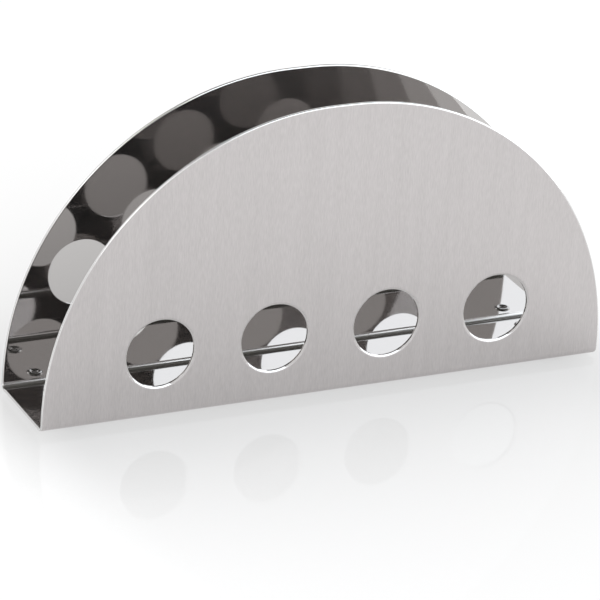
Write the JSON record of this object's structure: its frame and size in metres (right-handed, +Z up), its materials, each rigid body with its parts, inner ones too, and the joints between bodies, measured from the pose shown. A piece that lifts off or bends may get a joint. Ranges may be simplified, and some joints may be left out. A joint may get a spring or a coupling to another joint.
{
  "type": "napkin holder",
  "caption": "Upright napkin holder bent from one steel sheet: two round-topped walls with round holes, joined by a flat floor on four small feet.",
  "frame": {"origin": "on the table, under the middle of the holder", "axes": "+X along the walls to the right, +Y from the front wall to the back wall, +Z up"},
  "size_m": [0.2, 0.035, 0.102],
  "materials": {
    "steel_sheet": "outside brushed with a fine upright grain, inside and cut edges polished",
    "foot_rubber": "matt",
    "rivet_steel": "polished"
  },
  "bodies": {
    "root": {"bent_sheet": "steel_sheet", "foot_front_left": "foot_rubber", "foot_front_right": "foot_rubber", "foot_back_left": "foot_rubber", "foot_back_right": "foot_rubber", "rivet_front_left": "rivet_steel", "rivet_back_left": "rivet_steel", "rivet_back_right": "rivet_steel"}
  },
  "joints": []
}
